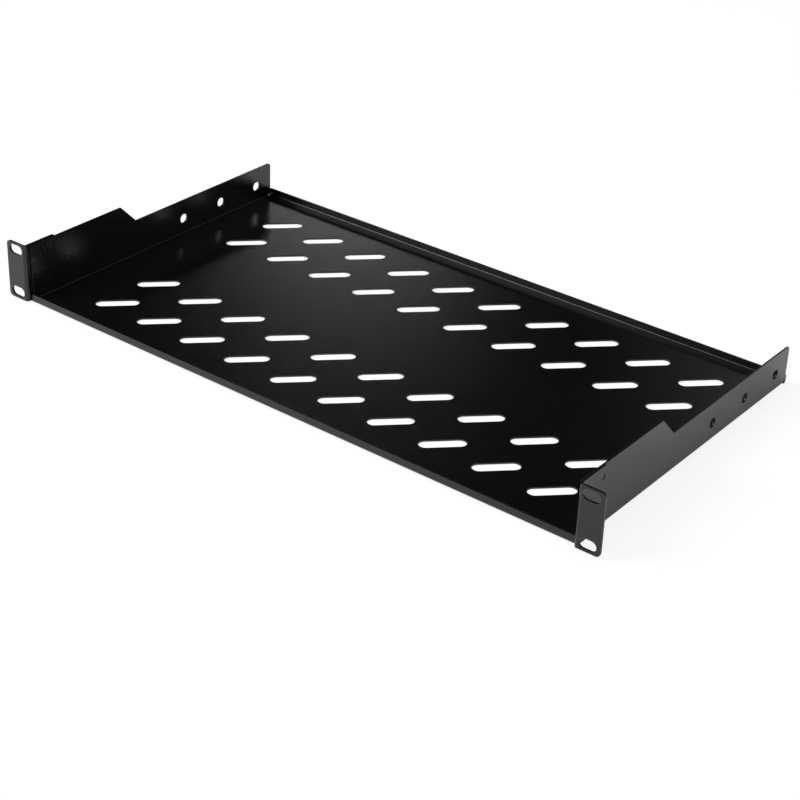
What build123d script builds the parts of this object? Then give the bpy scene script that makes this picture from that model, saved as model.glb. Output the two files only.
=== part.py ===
from build123d import *
import os

os.makedirs("parts", exist_ok=True)

# A cantilever shelf, one unit high, for a 19 inch rack: a folded sheet steel tray
# carried at its front corners by two folded ear brackets, spot-welded to its side walls.
# Frame: X runs across the rack, Y from the front to the back and Z up. The origin is midway
# between the four mounting slots, on the plane where the ears' backs meet the rack rails.

# Rack pattern
ears_across = 482.6
slot_to_ear_side = 8.75
slot_centres_up = 31.75
slot_to_ear_top = 5.125

# Ear brackets
ear_sheet = 1.5
ear_bend_inside = 1.0
ear_corner_radius = 3.0
ear_slot_length = 12.0
ear_slot_height = 7.0
ear_slot_to_bend = 0.55
leg_end = 25.5
leg_corner_radius = 1.0

# Tray
tray_front = 1.5
tray_back = 248.5
tray_sheet = 1.2
tray_bend_inside = 1.0
corner_slit = 1.6
tray_below_leg = 1.0
leg_above_wall = 0.6

# Lips: folded up across the front and the back
lip_height = 6.2
lip_corner_radius = 1.5

# Side walls: high beside the brackets, stepped down behind them
wall_back_height = 27.6
step_start = 88.0
step_run = 14.5
wall_corner_radius = 2.5
wall_to_lip_gap = 0.3

# Tie holes in the low part of each side wall
tie_hole_diameter = 7.0
tie_hole_count = 3
tie_hole_pitch = 40.0
tie_hole_height = 13.0
tie_hole_to_back = 17.5

# Vents: two bands of diagonal slots in the floor
vent_length = 30.0
vent_width = 9.0
vent_angle = 45.0
vent_columns = 10
vent_rows = 2
vent_field_to_side = 23.5
vent_side_shift = 3.0
front_band_to_front = 56.8
back_band_to_back = 58.6

# Spot welds between bracket and side wall: shallow round electrode marks on both faces
weld_count = 2
weld_to_leg_end = 3.5
weld_to_wall_edge = 6.0
weld_mark_diameter = 4.5
weld_mark_depth = 0.3

# Places that follow from the sizes above
tray_bend_outside = tray_bend_inside + tray_sheet
ear_bend_outside = ear_bend_inside + ear_sheet
slot_centre = ears_across / 2 - slot_to_ear_side
side = slot_centre - ear_slot_length / 2 - ear_slot_to_bend - ear_bend_outside
tray_across = side * 2
ear_height = slot_centres_up + slot_to_ear_top * 2
tray_underside = -ear_height / 2 - tray_below_leg
floor_top = tray_underside + tray_sheet
front_bend_line = tray_front + tray_bend_outside
back_bend_line = tray_back - tray_bend_outside
wall_front_end = tray_front + tray_sheet + wall_to_lip_gap
wall_back_end = tray_back - tray_sheet - wall_to_lip_gap
wall_front_top = ear_height / 2 - leg_above_wall
wall_back_top = tray_underside + wall_back_height
wall_top = max(wall_front_top, wall_back_top)
vent_pitch = (tray_across - vent_field_to_side * 2) / vent_columns
weld_y = leg_end - weld_to_leg_end
weld_middle = (floor_top + wall_front_top) / 2
weld_spacing = wall_front_top - floor_top - weld_to_wall_edge * 2


# Floor and side walls: one channel section, its walls then trimmed to their stepped outline
with BuildPart() as channel:
    with BuildSketch(Plane.XZ.offset(-wall_front_end)):
        with BuildLine():
            outside = FilletPolyline(
                (-side, wall_top),
                (-side, tray_underside),
                (side, tray_underside),
                (side, wall_top),
                radius=tray_bend_outside,
            )
            offset(outside, amount=tray_sheet, side=Side.LEFT)
        make_face()
    extrude(amount=wall_front_end - wall_back_end)

    with BuildSketch(Plane.YZ):
        with BuildLine():
            Polyline(
                (wall_front_end, wall_front_top),
                (step_start, wall_front_top),
                (step_start + step_run, wall_back_top),
                (wall_back_end, wall_back_top),
                (wall_back_end, wall_top + tray_sheet),
                (wall_front_end, wall_top + tray_sheet),
                close=True,
            )
        make_face()
    extrude(amount=side, both=True, mode=Mode.SUBTRACT)

    wall_back_corners = channel.edges().filter_by(Axis.X).group_by(Axis.Y)[-1].group_by(Axis.Z)[-1]
    fillet(wall_back_corners, radius=wall_corner_radius)


# Lips: each is an L section across the whole tray, from beside its corner slits up to its free edge
with BuildPart() as front_lip:
    with BuildSketch(Plane.YZ):
        with BuildLine():
            outside = FilletPolyline(
                (front_bend_line + corner_slit, tray_underside),
                (tray_front, tray_underside),
                (tray_front, tray_underside + lip_height),
                radius=tray_bend_outside,
            )
            offset(outside, amount=tray_sheet, side=Side.RIGHT)
        make_face()
    extrude(amount=side, both=True)
    fillet(
        front_lip.edges().filter_by(Axis.Y).group_by(Axis.Z)[-1],
        radius=lip_corner_radius,
    )

with BuildPart() as back_lip:
    with BuildSketch(Plane.YZ):
        with BuildLine():
            outside = FilletPolyline(
                (back_bend_line - corner_slit, tray_underside),
                (tray_back, tray_underside),
                (tray_back, tray_underside + lip_height),
                radius=tray_bend_outside,
            )
            offset(outside, amount=tray_sheet, side=Side.LEFT)
        make_face()
    extrude(amount=side, both=True)
    fillet(
        back_lip.edges().filter_by(Axis.Y).group_by(Axis.Z)[-1],
        radius=lip_corner_radius,
    )


# The tray: its four corners are slit so that each wall and each lip folds free of the other
with BuildPart() as shelf_tray:
    add(channel.part)

    # The channel's floor and bends end at the lips' bend lines, under the walls' ends
    with BuildSketch(Plane.XY.offset(tray_underside)):
        with Locations((0, (wall_front_end + front_bend_line) / 2)):
            Rectangle(tray_across, front_bend_line - wall_front_end)
        with Locations((0, (back_bend_line + wall_back_end) / 2)):
            Rectangle(tray_across, wall_back_end - back_bend_line)
    extrude(amount=tray_bend_outside, mode=Mode.SUBTRACT)

    add(front_lip.part)
    add(back_lip.part)

    with BuildSketch(Plane.XY.offset(tray_underside)):
        for slit_y in (front_bend_line + corner_slit / 2, back_bend_line - corner_slit / 2):
            for slit_x in (tray_bend_outside / 2 - side, side - tray_bend_outside / 2):
                with Locations((slit_x, slit_y)):
                    Rectangle(tray_bend_outside, corner_slit)
    extrude(amount=tray_bend_outside, mode=Mode.SUBTRACT)

    # Vents
    with BuildSketch(Plane.XY.offset(tray_underside)):
        for band_y in (tray_front + front_band_to_front, tray_back - back_band_to_back):
            with Locations((vent_side_shift, band_y)):
                with GridLocations(vent_pitch, vent_pitch, vent_columns, vent_rows):
                    SlotOverall(vent_length, vent_width, rotation=vent_angle)
    extrude(amount=tray_sheet, mode=Mode.SUBTRACT)

    # Tie holes, through both walls
    tie_row_middle = tray_back - tie_hole_to_back - tie_hole_pitch * (tie_hole_count - 1) / 2
    with BuildSketch(Plane.YZ):
        with Locations((tie_row_middle, tray_underside + tie_hole_height)):
            with GridLocations(tie_hole_pitch, 0, tie_hole_count, 1):
                Circle(tie_hole_diameter / 2)
    extrude(amount=side, both=True, mode=Mode.SUBTRACT)

    # Weld marks on the inner faces of the walls
    for direction in (-1, 1):
        with BuildSketch(Plane.YZ.offset(direction * (side - tray_sheet))):
            with Locations((weld_y, weld_middle)):
                with GridLocations(0, weld_spacing, 1, weld_count):
                    Circle(weld_mark_diameter / 2)
        extrude(amount=direction * weld_mark_depth, mode=Mode.SUBTRACT)


# Ear brackets: the ear bolts to the rack rail and its leg is welded outside the side wall
with BuildPart() as right_bracket:
    with BuildSketch(Plane.XY.offset(-ear_height / 2)):
        with BuildLine():
            outside = FilletPolyline(
                (ears_across / 2, -ear_sheet),
                (side, -ear_sheet),
                (side, leg_end),
                radius=ear_bend_outside,
            )
            offset(outside, amount=ear_sheet, side=Side.RIGHT)
        make_face()
    extrude(amount=ear_height)

    fillet(
        right_bracket.edges().filter_by(Axis.Y).group_by(Axis.X)[-1],
        radius=ear_corner_radius,
    )
    fillet(
        right_bracket.edges().filter_by(Axis.X).group_by(Axis.Y)[-1],
        radius=leg_corner_radius,
    )

    with BuildSketch(Plane.XZ):
        with Locations((slot_centre, 0)):
            with GridLocations(0, slot_centres_up, 1, 2):
                SlotOverall(ear_slot_length, ear_slot_height)
    extrude(amount=ear_sheet, mode=Mode.SUBTRACT)

    with BuildSketch(Plane.YZ.offset(side + ear_sheet)):
        with Locations((weld_y, weld_middle)):
            with GridLocations(0, weld_spacing, 1, weld_count):
                Circle(weld_mark_diameter / 2)
    extrude(amount=-weld_mark_depth, mode=Mode.SUBTRACT)

with BuildPart() as left_bracket:
    mirror(right_bracket.part, about=Plane.YZ)


shelf_tray.part.label = "shelf_tray"
right_bracket.part.label = "right_bracket"
left_bracket.part.label = "left_bracket"

export_step(shelf_tray.part, "parts/shelf_tray.step")
export_step(right_bracket.part, "parts/right_bracket.step")
export_step(left_bracket.part, "parts/left_bracket.step")
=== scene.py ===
import math

import bpy
from mathutils import Euler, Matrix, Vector


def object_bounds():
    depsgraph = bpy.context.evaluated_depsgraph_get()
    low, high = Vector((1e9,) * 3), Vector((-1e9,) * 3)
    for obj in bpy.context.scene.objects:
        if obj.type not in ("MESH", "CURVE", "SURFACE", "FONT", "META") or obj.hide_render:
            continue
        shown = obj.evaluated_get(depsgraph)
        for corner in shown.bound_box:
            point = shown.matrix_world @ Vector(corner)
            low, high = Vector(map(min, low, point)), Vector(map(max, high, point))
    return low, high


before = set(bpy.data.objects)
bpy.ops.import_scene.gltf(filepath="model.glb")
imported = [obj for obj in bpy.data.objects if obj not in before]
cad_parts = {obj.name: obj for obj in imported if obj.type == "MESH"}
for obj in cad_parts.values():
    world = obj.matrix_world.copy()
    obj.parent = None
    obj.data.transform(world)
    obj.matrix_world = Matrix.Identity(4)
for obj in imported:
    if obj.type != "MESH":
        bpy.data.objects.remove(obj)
cad_low, cad_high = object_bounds()
centre = (cad_low + cad_high) / 2

bl_info = {
    "name": "Rack shelf finish",
    "version": (1, 0, 0),
    "blender": (4, 5, 0),
    "location": "3D View > Sidebar > Shelf",
    "description": "Powder coat, studio and camera for a folded cantilever rack shelf",
    "category": "Object",
}

# The photograph's view, in metres and degrees, and the place of its middle in its 800 pixel frame
CAMERA_PLACE = (0.66306, -0.74955, 0.56583)
CAMERA_AZIMUTH = 38.06
CAMERA_ELEVATION = 28.17
CAMERA_ROLL = 1.77
CAMERA_LENS = 83.758
CAMERA_SENSOR = 36.0
CAMERA_NEAR = 0.01
PICTURE_MIDDLE = (372.0, 340.0)
PICTURE_WIDTH = 800

# Detail and sharpness of the noises that shape the coat, and the value that they vary about
PEEL_NOISE = (1.0, 0.5)
GRAIN_NOISE = (2.0, 0.6)
PATCH_NOISE = (3.0, 0.55)
NOISE_MIDDLE = 0.5

# The coat's refractive index, the faint blue of what it mirrors, and the rays that round an edge
COAT_IOR = 1.48
COAT_TINT = (0.93, 0.94, 1.0, 1.0)
EDGE_SAMPLES = 6

# The colour sockets of a Mix node go by number, because its other kinds have the same names
MIX_FACTOR = 0
MIX_A = 6
MIX_B = 7
MIX_RESULT = 2

# Raises the share of the floor that the lamps light, so that the floor is white away from the shelf
FLOOR_GAIN = 1.3

# How many times wider than the floor the ceiling is, so that its edge hangs near the horizon
CEILING_SPREAD = 4

DISC_SIDES = 128

# Power that makes each square metre of a softbox look as bright as white paper
WATTS_FOR_WHITE = 4.0


# Sizes and colours that a user would change

class ShelfCoatSettings(bpy.types.PropertyGroup):
    """The powder coat on the tray and the brackets"""

    colour: bpy.props.FloatVectorProperty(
        name="Colour",
        description="Body colour of the black powder coat",
        subtype="COLOR", size=3, min=0.0, max=1.0,
        default=(0.0026, 0.0026, 0.0030),
    )
    roughness: bpy.props.FloatProperty(
        name="Roughness",
        description="How wide the coat spreads a reflection",
        subtype="FACTOR", min=0.05, max=1.0, default=0.2,
    )
    roughness_spread: bpy.props.FloatProperty(
        name="Roughness spread",
        description="How much the roughness varies between one patch of coat and the next",
        subtype="FACTOR", min=0.0, max=0.3, default=0.05,
    )
    peel_size: bpy.props.FloatProperty(
        name="Peel size",
        description="Width of one ripple of the coat's orange peel",
        subtype="DISTANCE", unit="LENGTH", min=0.0001, max=0.01, default=0.001,
    )
    peel_height: bpy.props.FloatProperty(
        name="Peel height",
        description="Height of the orange peel's ripples",
        subtype="DISTANCE", unit="LENGTH", min=0.0, max=0.001, default=0.00007,
    )
    grain_size: bpy.props.FloatProperty(
        name="Grain size",
        description="Width of one speck of the coat's fine grain",
        subtype="DISTANCE", unit="LENGTH", min=0.00005, max=0.01, default=0.0006,
    )
    grain_height: bpy.props.FloatProperty(
        name="Grain height",
        description="Height of the fine grain",
        subtype="DISTANCE", unit="LENGTH", min=0.0, max=0.001, default=0.00005,
    )
    grain_spread: bpy.props.FloatProperty(
        name="Grain spread",
        description="How much the roughness varies between one speck and the next",
        subtype="FACTOR", min=0.0, max=0.5, default=0.16,
    )
    patch_size: bpy.props.FloatProperty(
        name="Patch size",
        description="Width of a patch of coat that is a little rougher or smoother than the next",
        subtype="DISTANCE", unit="LENGTH", min=0.001, max=1.0, default=0.045,
    )
    patch_shade: bpy.props.FloatProperty(
        name="Patch shade",
        description="How much the coat's colour varies between one patch and the next",
        subtype="FACTOR", min=0.0, max=1.0, default=0.2,
    )
    edge_radius: bpy.props.FloatProperty(
        name="Edge radius",
        description="Radius that the coat gives to a cut edge of the sheet",
        subtype="DISTANCE", unit="LENGTH", min=0.0, max=0.002, default=0.00025,
    )


class ShelfStudioSettings(bpy.types.PropertyGroup):
    """The floor, the dark ceiling, the room's light and the lamps"""

    floor_width: bpy.props.FloatProperty(
        name="Floor width",
        description="Width of the round floor that the shelf lies on",
        subtype="DISTANCE", unit="LENGTH", min=1.0, max=100.0, default=30.0,
    )
    floor_gap: bpy.props.FloatProperty(
        name="Floor gap",
        description="Gap between the shelf's underside and the floor, so that the two faces don't flicker",
        subtype="DISTANCE", unit="LENGTH", min=0.0, max=0.01, default=0.0003,
    )
    floor_colour: bpy.props.FloatVectorProperty(
        name="Floor colour",
        description="Colour of the floor as the lamps light it",
        subtype="COLOR", size=3, min=0.0, max=1.0,
        default=(0.8, 0.8, 0.8),
    )
    floor_white: bpy.props.FloatProperty(
        name="Floor white",
        description="Share of the floor's white that the lamps don't change, so that its shadow is pale",
        subtype="FACTOR", min=0.0, max=1.0, default=0.85,
    )
    mirrored_white: bpy.props.FloatProperty(
        name="Mirrored white",
        description="The same share for what the coat mirrors, so that its walls mirror the shelf's shadow",
        subtype="FACTOR", min=0.0, max=1.0, default=0.2,
    )
    ceiling_height: bpy.props.FloatProperty(
        name="Ceiling height",
        description="Height of the dark ceiling that the tray mirrors, above the floor",
        subtype="DISTANCE", unit="LENGTH", min=1.0, max=20.0, default=3.0,
    )
    ceiling_colour: bpy.props.FloatVectorProperty(
        name="Ceiling colour",
        description="Colour of the dark ceiling",
        subtype="COLOR", size=3, min=0.0, max=1.0,
        default=(0.002, 0.002, 0.002),
    )
    room_light: bpy.props.FloatProperty(
        name="Room light",
        description="Brightness of the room's even light",
        subtype="FACTOR", min=0.0, max=2.0, default=0.32,
    )
    front_brightness: bpy.props.FloatProperty(
        name="Front softbox",
        description="Brightness of the large softbox at the front left, where 1 is white",
        min=0.0, max=50.0, default=6.0,
    )
    top_brightness: bpy.props.FloatProperty(
        name="Top softbox",
        description="Brightness of the softbox overhead, where 1 is white",
        min=0.0, max=50.0, default=1.4,
    )
    lamp_brightness: bpy.props.FloatProperty(
        name="Back left lamp",
        description="Brightness of the small low lamp whose glow the tray mirrors, where 1 is white",
        min=0.0, max=50.0, default=2.7,
    )
    panel_brightness: bpy.props.FloatProperty(
        name="Back right panel",
        description="Brightness of the wide dim panel behind the shelf, where 1 is white",
        min=0.0, max=50.0, default=0.4,
    )


# Shader nodes, with sums written as Python expressions

class Socket:
    """One output of a node; sums on it add Math nodes"""

    def __init__(self, shading, output):
        self.shading = shading
        self.output = output

    def beside(self, name):
        """Another output of the same node."""
        return Socket(self.shading, self.output.node.outputs[name])

    def maths(self, operation, *values):
        """Adds a Math node that works on the values."""
        return self.shading.node("ShaderNodeMath", {"operation": operation}, dict(enumerate(values)))

    def __add__(self, other):
        return self.maths("ADD", self, other)

    def __sub__(self, other):
        return self.maths("SUBTRACT", self, other)

    def __rsub__(self, other):
        return self.maths("SUBTRACT", other, self)

    def __mul__(self, other):
        return self.maths("MULTIPLY", self, other)

    def clamped(self):
        """The value, kept between 0 and 1."""
        return self.maths("MINIMUM", self.maths("MAXIMUM", self, 0.0), 1.0)

    __radd__ = __add__
    __rmul__ = __mul__


class Shading:
    """The nodes of a material or a world, added one by one"""

    def __init__(self, owner, output):
        owner.use_nodes = True
        self.owner = owner
        self.tree = owner.node_tree
        self.tree.nodes.clear()
        self.end = self.tree.nodes.new(output)

    def node(self, kind, settings=None, sockets=None, out=0):
        """Adds a node, sets its settings and then its sockets, and returns one of its outputs."""
        node = self.tree.nodes.new(kind)
        for name, value in (settings or {}).items():
            setattr(node, name, value)
        for name, value in (sockets or {}).items():
            if isinstance(value, Socket):
                self.tree.links.new(value.output, node.inputs[name])
            else:
                node.inputs[name].default_value = value
        return Socket(self, node.outputs[out])

    def grey(self, level):
        """A grey colour of the given level."""
        return self.node("ShaderNodeCombineColor", {}, {0: level, 1: level, 2: level})

    def seen_rays(self):
        """Two masks: the rays of the camera, of gloss and through glass, and those of gloss alone."""
        camera = self.node("ShaderNodeLightPath", out="Is Camera Ray")
        glossy = camera.beside("Is Glossy Ray")
        seen = (camera + glossy + camera.beside("Is Transmission Ray")).clamped()
        return seen, glossy

    def finish(self, shader):
        """Links the last shader to the output and returns the material or the world."""
        self.tree.links.new(shader.output, self.end.inputs["Surface"])
        return self.owner


def powder_coat(name, settings):
    """Glossy black powder coat with orange peel and fine grain, rounded over the sheet's cut edges."""
    coat = Shading(bpy.data.materials.new(name), "ShaderNodeOutputMaterial")
    place = coat.node("ShaderNodeTexCoord", out="Object")

    def noise(size, detail, sharpness):
        return coat.node("ShaderNodeTexNoise", {}, {
            "Vector": place, "Scale": 1 / size, "Detail": detail, "Roughness": sharpness,
        }, out="Fac")

    def bump(height, depth, normal):
        return coat.node("ShaderNodeBump", {}, {
            "Strength": 1.0, "Distance": depth, "Height": height, "Normal": normal,
        })

    peel = noise(settings.peel_size, *PEEL_NOISE)
    grain = noise(settings.grain_size, *GRAIN_NOISE)
    patches = noise(settings.patch_size, *PATCH_NOISE)

    rounded = coat.node("ShaderNodeBevel", {"samples": EDGE_SAMPLES}, {"Radius": settings.edge_radius})
    rippled = bump(peel, settings.peel_height, rounded)
    grained = bump(grain, settings.grain_height, rippled)

    patch_roughness = (patches - NOISE_MIDDLE) * settings.roughness_spread
    grain_roughness = (grain - NOISE_MIDDLE) * settings.grain_spread
    shade = (1.0 - settings.patch_shade / 2) + patches * settings.patch_shade
    colour = coat.node("ShaderNodeMix", {"data_type": "RGBA", "blend_type": "MULTIPLY"}, {
        MIX_FACTOR: 1.0, MIX_A: (*settings.colour, 1.0), MIX_B: coat.grey(shade),
    }, out=MIX_RESULT)

    return coat.finish(coat.node("ShaderNodeBsdfPrincipled", {}, {
        "Base Color": colour, "Roughness": settings.roughness + patch_roughness + grain_roughness,
        "Normal": grained, "IOR": COAT_IOR, "Specular Tint": COAT_TINT,
    }))


def studio_floor(settings):
    """A pale floor that the camera and the coat's gloss see as white, with a pale shadow round the shelf.

    From below it is clear, so that the shelf's underside can be looked at.
    """
    floor = Shading(bpy.data.materials.new("studio_floor"), "ShaderNodeOutputMaterial")
    seen, glossy = floor.seen_rays()

    # A steady white, of which gloss sees less, and the rest as the lamps light it
    steady = settings.floor_white - glossy * (settings.floor_white - settings.mirrored_white)
    lit = (1.0 - steady) * FLOOR_GAIN
    shaded = floor.node("ShaderNodeBsdfDiffuse", {}, {"Color": floor.grey(lit)})
    white = floor.node("ShaderNodeEmission", {}, {"Color": floor.grey(steady)})
    plain = floor.node("ShaderNodeAddShader", {}, {0: shaded, 1: white})

    pale = floor.node("ShaderNodeBsdfDiffuse", {}, {"Color": (*settings.floor_colour, 1.0)})
    above = floor.node("ShaderNodeMixShader", {}, {0: seen, 1: pale, 2: plain})
    below = floor.node("ShaderNodeNewGeometry", out="Backfacing")
    clear = floor.node("ShaderNodeBsdfTransparent")
    return floor.finish(floor.node("ShaderNodeMixShader", {}, {0: below, 1: above, 2: clear}))


def dark_cloth(settings):
    """Dark cloth on the ceiling, which the tray's floor mirrors."""
    cloth = Shading(bpy.data.materials.new("ceiling_cloth"), "ShaderNodeOutputMaterial")
    return cloth.finish(cloth.node("ShaderNodeBsdfDiffuse", {}, {"Color": (*settings.ceiling_colour, 1.0)}))


def studio_world(settings):
    """White to the camera, to gloss and through glass, and an even room light for everything else."""
    room = Shading(bpy.data.worlds.new("studio_world"), "ShaderNodeOutputWorld")
    seen, _ = room.seen_rays()
    return room.finish(room.node("ShaderNodeBackground", {}, {
        "Color": room.grey(settings.room_light + seen * (1.0 - settings.room_light)),
    }))


# Stage pieces

def disc(name, width, height, material):
    """Adds a flat round stage piece, level and centred on the shelf."""
    bpy.ops.object.select_all(action="DESELECT")
    bpy.ops.mesh.primitive_circle_add(
        vertices=DISC_SIDES, radius=width / 2, fill_type="NGON", location=(centre.x, centre.y, height),
    )
    piece = bpy.context.object
    piece.name = name
    bpy.ops.object.transform_apply(location=True, rotation=True, scale=True)
    piece.data.materials.append(material)
    return piece


def softbox(name, turn, rise, distance, width, height, brightness):
    """Adds a soft rectangular lamp that faces the shelf.

    Its turn is counted in degrees from the back towards the left, and its rise from level up.
    """
    turn, rise = math.radians(turn), math.radians(rise)
    direction = Vector((-math.sin(turn) * math.cos(rise), math.cos(turn) * math.cos(rise), math.sin(rise)))
    bpy.ops.object.light_add(type="AREA", location=centre + direction * distance)
    lamp = bpy.context.object
    lamp.name = name
    lamp.rotation_euler = (-direction).to_track_quat("-Z", "Y").to_euler()
    lamp.data.shape = "RECTANGLE"
    lamp.data.size = width
    lamp.data.size_y = height
    lamp.data.energy = brightness * WATTS_FOR_WHITE * width * height
    lamp.visible_camera = False


def give(node, material):
    """Puts a material in every slot of a node of the frame."""
    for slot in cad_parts[node].material_slots:
        slot.material = material


# Operators

class SHELF_OT_coat_tray(bpy.types.Operator):
    """Gives the folded tray its powder coat"""

    bl_idname = "shelf.coat_tray"
    bl_label = "Coat tray"

    def execute(self, context):
        give("shelf_tray", powder_coat("tray_coat", context.scene.shelf_coat))
        return {"FINISHED"}


class SHELF_OT_coat_brackets(bpy.types.Operator):
    """Gives the two ear brackets their powder coat"""

    bl_idname = "shelf.coat_brackets"
    bl_label = "Coat brackets"

    def execute(self, context):
        coat = powder_coat("bracket_coat", context.scene.shelf_coat)
        for node in ("left_bracket", "right_bracket"):
            give(node, coat)
        return {"FINISHED"}


class SHELF_OT_set_stage(bpy.types.Operator):
    """Lays the floor, hangs the ceiling and the lamps, and sets up the camera"""

    bl_idname = "shelf.set_stage"
    bl_label = "Set stage"

    def execute(self, context):
        settings = context.scene.shelf_studio
        floor_top = cad_low.z - settings.floor_gap
        disc("studio_floor", settings.floor_width, floor_top, studio_floor(settings))

        # The ceiling is there for gloss: the camera, diffuse light and shadows pass it by
        ceiling = disc(
            "studio_ceiling", settings.floor_width * CEILING_SPREAD,
            floor_top + settings.ceiling_height, dark_cloth(settings),
        )
        ceiling.visible_camera = False
        ceiling.visible_diffuse = False
        ceiling.visible_shadow = False

        softbox(
            "front_softbox", turn=135.0, rise=38.0, distance=2.8,
            width=1.6, height=1.4, brightness=settings.front_brightness,
        )
        softbox(
            "top_softbox", turn=0.0, rise=88.0, distance=2.6,
            width=1.5, height=1.5, brightness=settings.top_brightness,
        )
        softbox(
            "back_left_lamp", turn=39.5, rise=17.0, distance=5.0,
            width=0.70, height=0.45, brightness=settings.lamp_brightness,
        )
        softbox(
            "back_right_panel", turn=-17.5, rise=22.0, distance=4.0,
            width=6.2, height=1.9, brightness=settings.panel_brightness,
        )
        context.scene.world = studio_world(settings)

        bpy.ops.object.camera_add(location=CAMERA_PLACE)
        camera = context.object
        camera.name = "photo_camera"
        turn = Euler((math.radians(90 - CAMERA_ELEVATION), 0.0, math.radians(CAMERA_AZIMUTH)))
        roll = Euler((0.0, 0.0, math.radians(CAMERA_ROLL)))
        camera.rotation_euler = (turn.to_matrix() @ roll.to_matrix()).to_euler()
        camera.data.sensor_width = CAMERA_SENSOR
        camera.data.lens = CAMERA_LENS
        camera.data.shift_x = 0.5 - PICTURE_MIDDLE[0] / PICTURE_WIDTH
        camera.data.shift_y = PICTURE_MIDDLE[1] / PICTURE_WIDTH - 0.5
        camera.data.clip_start = CAMERA_NEAR
        context.scene.camera = camera
        context.scene.view_settings.view_transform = "Standard"
        return {"FINISHED"}


class SHELF_PT_sidebar(bpy.types.Panel):
    """Lists the shelf's settings and its operators"""

    bl_idname = "SHELF_PT_sidebar"
    bl_label = "Rack shelf finish"
    bl_space_type = "VIEW_3D"
    bl_region_type = "UI"
    bl_category = "Shelf"

    def draw(self, context):
        layout = self.layout
        for settings in (context.scene.shelf_coat, context.scene.shelf_studio):
            box = layout.box()
            for name in settings.__annotations__:
                box.prop(settings, name)
        for operator in OPERATORS:
            layout.operator(operator.bl_idname)


OPERATORS = (SHELF_OT_coat_tray, SHELF_OT_coat_brackets, SHELF_OT_set_stage)
CLASSES = (ShelfCoatSettings, ShelfStudioSettings, *OPERATORS, SHELF_PT_sidebar)


def register():
    for cls in CLASSES:
        bpy.utils.register_class(cls)
    bpy.types.Scene.shelf_coat = bpy.props.PointerProperty(type=ShelfCoatSettings)
    bpy.types.Scene.shelf_studio = bpy.props.PointerProperty(type=ShelfStudioSettings)


def unregister():
    del bpy.types.Scene.shelf_studio
    del bpy.types.Scene.shelf_coat
    for cls in reversed(CLASSES):
        bpy.utils.unregister_class(cls)


def main():
    register()
    bpy.ops.shelf.coat_tray()
    bpy.ops.shelf.coat_brackets()
    bpy.ops.shelf.set_stage()


if __name__ == "__main__":
    main()
